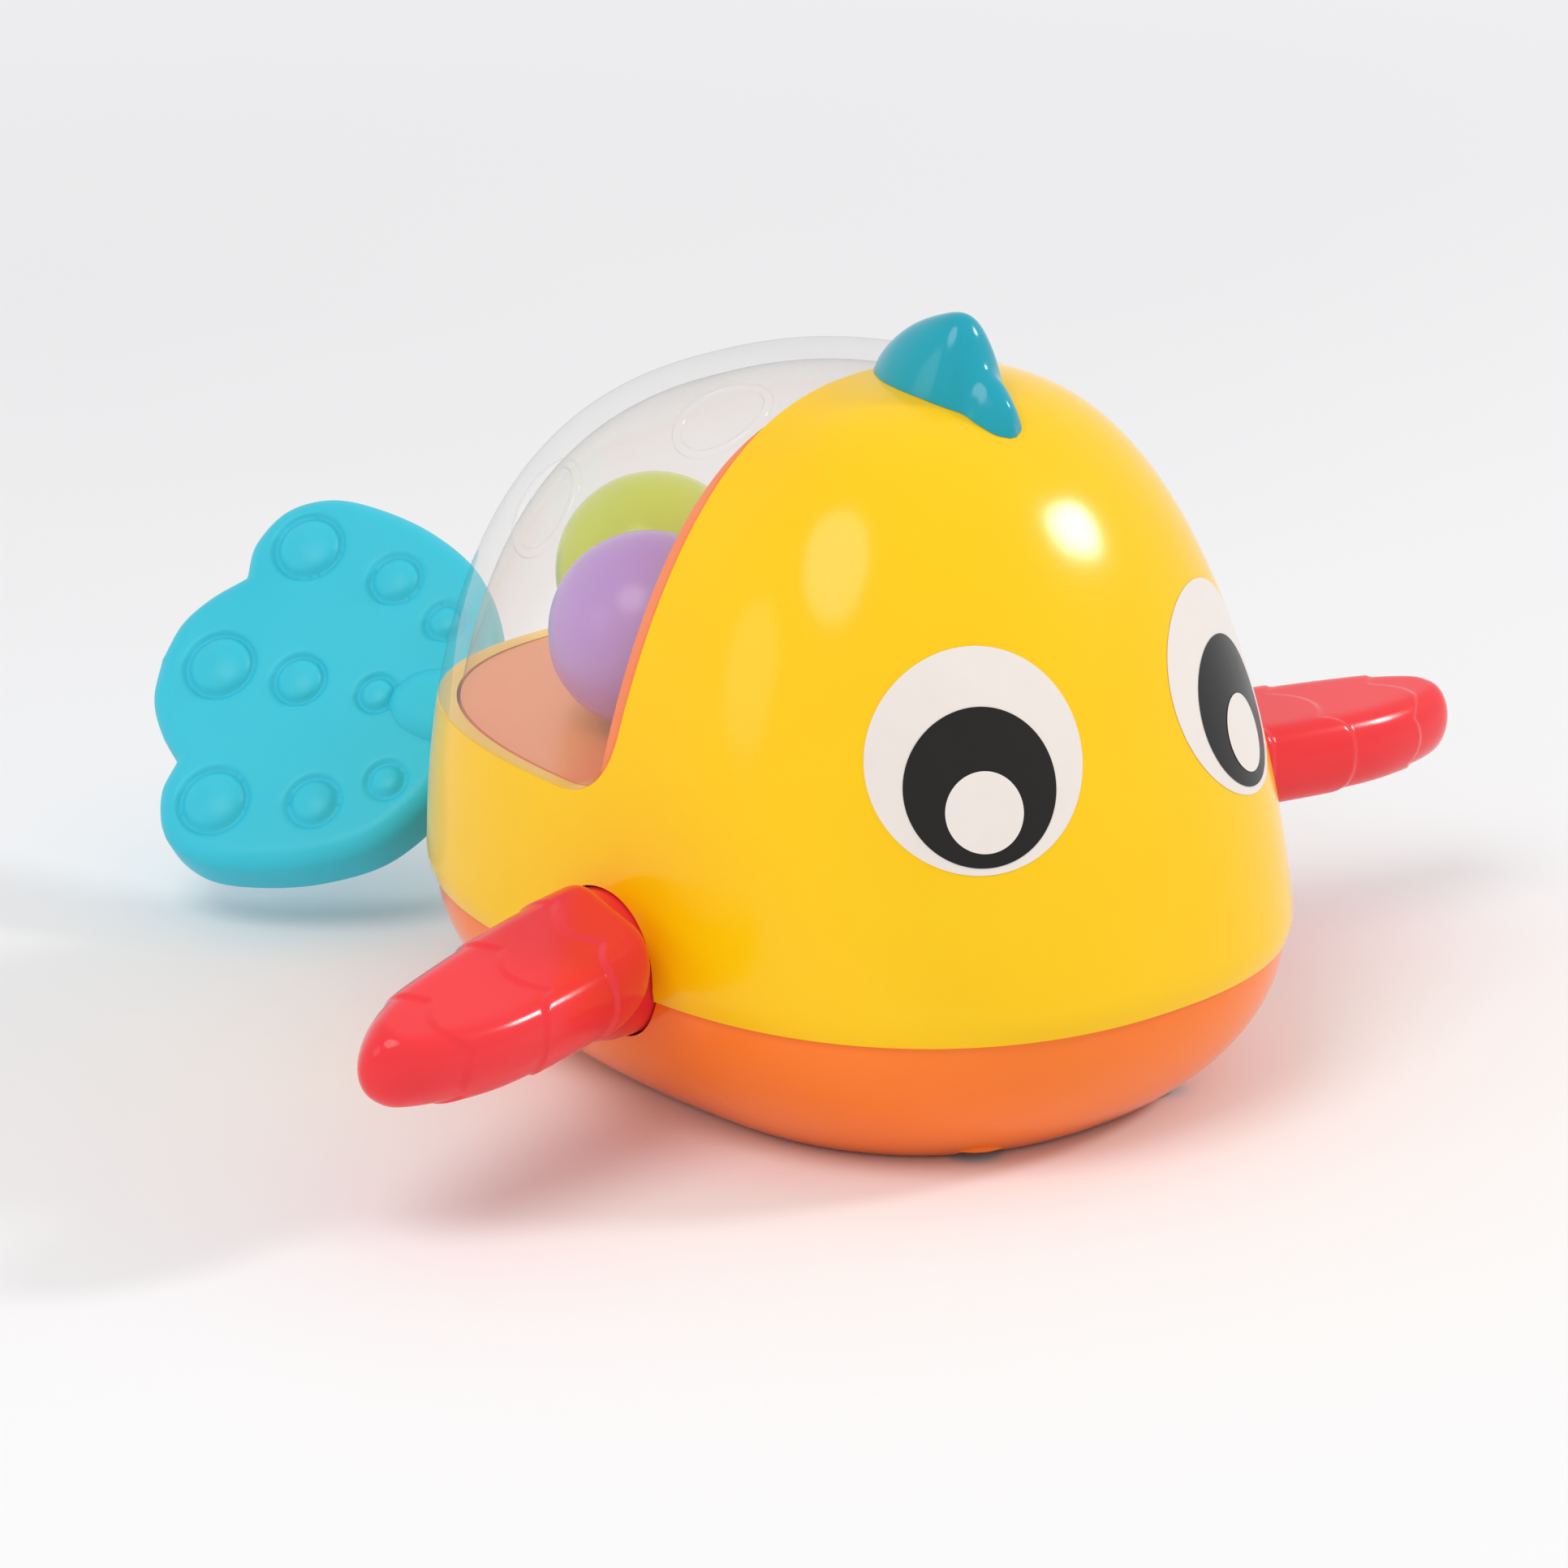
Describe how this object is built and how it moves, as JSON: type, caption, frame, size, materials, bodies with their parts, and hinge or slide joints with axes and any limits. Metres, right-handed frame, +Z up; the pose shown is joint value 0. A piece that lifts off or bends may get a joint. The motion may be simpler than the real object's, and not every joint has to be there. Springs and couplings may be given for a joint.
{
  "type": "swimming fish bath toy",
  "caption": "Floating fish bath toy with a clear dome over loose balls, paddling side fins on a cross axle and a soft tail on a pull cord that winds a spring motor",
  "frame": {"origin": "on the flat base of the lower hull, below the highest point of the back", "axes": "+X to the nose, +Y to the fish's left, +Z up; the base faces -Z"},
  "size_m": [0.148, 0.1652, 0.0872],
  "materials": {
    "yellow_shell": "high gloss moulding",
    "orange_hull": "gloss moulding",
    "clear_plastic": "clear polished plastic",
    "purple_plastic": "satin moulding",
    "lime_plastic": "satin moulding",
    "teal_plastic": "gloss moulding",
    "white_print": "pad-printed ink",
    "black_print": "pad-printed ink",
    "red_plastic": "gloss moulding",
    "white_acetal": "as moulded",
    "white_cord": "braided cord",
    "steel": "drawn rod",
    "spring_steel": "rolled strip",
    "grey_plastic": "as moulded",
    "cyan_soft": "matte soft moulding"
  },
  "bodies": {
    "body": {"upper_shell": "yellow_shell", "lower_hull": "orange_hull", "clear_dome": "clear_plastic", "ball_tray": "orange_hull", "dorsal_fin": "teal_plastic", "eye_white_right": "white_print", "eye_pupil_right": "black_print", "eye_glint_right": "white_print", "eye_white_left": "white_print", "eye_pupil_left": "black_print", "eye_glint_left": "white_print", "motor_case": "grey_plastic", "motor_lid": "grey_plastic", "motor_screw_1": "steel", "motor_screw_2": "steel", "axle_bush_right": "white_acetal", "axle_bush_left": "white_acetal", "spool_shaft": "steel", "mainspring": "spring_steel", "hull_screw_1": "steel", "hull_screw_2": "steel", "hull_screw_3": "steel", "hull_screw_4": "steel", "cord_bush": "white_acetal"},
    "fins": {"fin_left": "red_plastic", "fin_right": "red_plastic", "fin_axle": "steel", "axle_pinion": "white_acetal"},
    "spool": {"cord_spool": "white_acetal", "cord_winding": "white_cord"},
    "cord": {"pull_cord": "white_cord"},
    "knot": {"cord_knot": "white_cord"},
    "tail": {"tail": "cyan_soft", "tail_anchor": "grey_plastic"},
    "purple": {"ball_purple": "purple_plastic"},
    "lime": {"ball_lime": "lime_plastic"}
  },
  "joints": [
    {"name": "tail_pull", "type": "slide", "parent": "body", "child": "cord", "axis": [-1, 0, 0], "range_m": [0, 0.2], "stiffness_N_per_m": 30, "deforming": ["pull_cord"]},
    {"name": "tail_swing", "type": "hinge", "parent": "cord", "child": "knot", "pos_m": [-0.0626, 0, 0.0226], "axis": [0, 0, 1], "range_deg": [-54, 6], "deforming": ["pull_cord"]},
    {"name": "tail_swivel", "type": "hinge", "parent": "knot", "child": "tail", "pos_m": [-0.0626, 0, 0.0226], "axis": [-0.9114, -0.4096, 0.0401], "continuous": true},
    {"name": "spool_spin", "type": "hinge", "parent": "body", "child": "spool", "pos_m": [-0.02179, 0, 0.0163], "axis": [0, 1, 0], "continuous": true},
    {"name": "fin_spin", "type": "hinge", "parent": "body", "child": "fins", "pos_m": [-0.0073, 0, 0.0193], "axis": [0, 1, 0], "continuous": true},
    {"name": "purple_roll", "type": "slide", "parent": "body", "child": "purple", "axis": [1, 0, 0], "range_m": [0, 0.004]},
    {"name": "lime_roll", "type": "slide", "parent": "body", "child": "lime", "axis": [0, 1, 0], "range_m": [0, 0.007]}
  ],
  "couplings": [
    {"joint": "spool_spin", "follows": "tail_pull", "rad_per_m": -158.73},
    {"joint": "fin_spin", "follows": "tail_pull", "rad_per_m": 396.83}
  ]
}
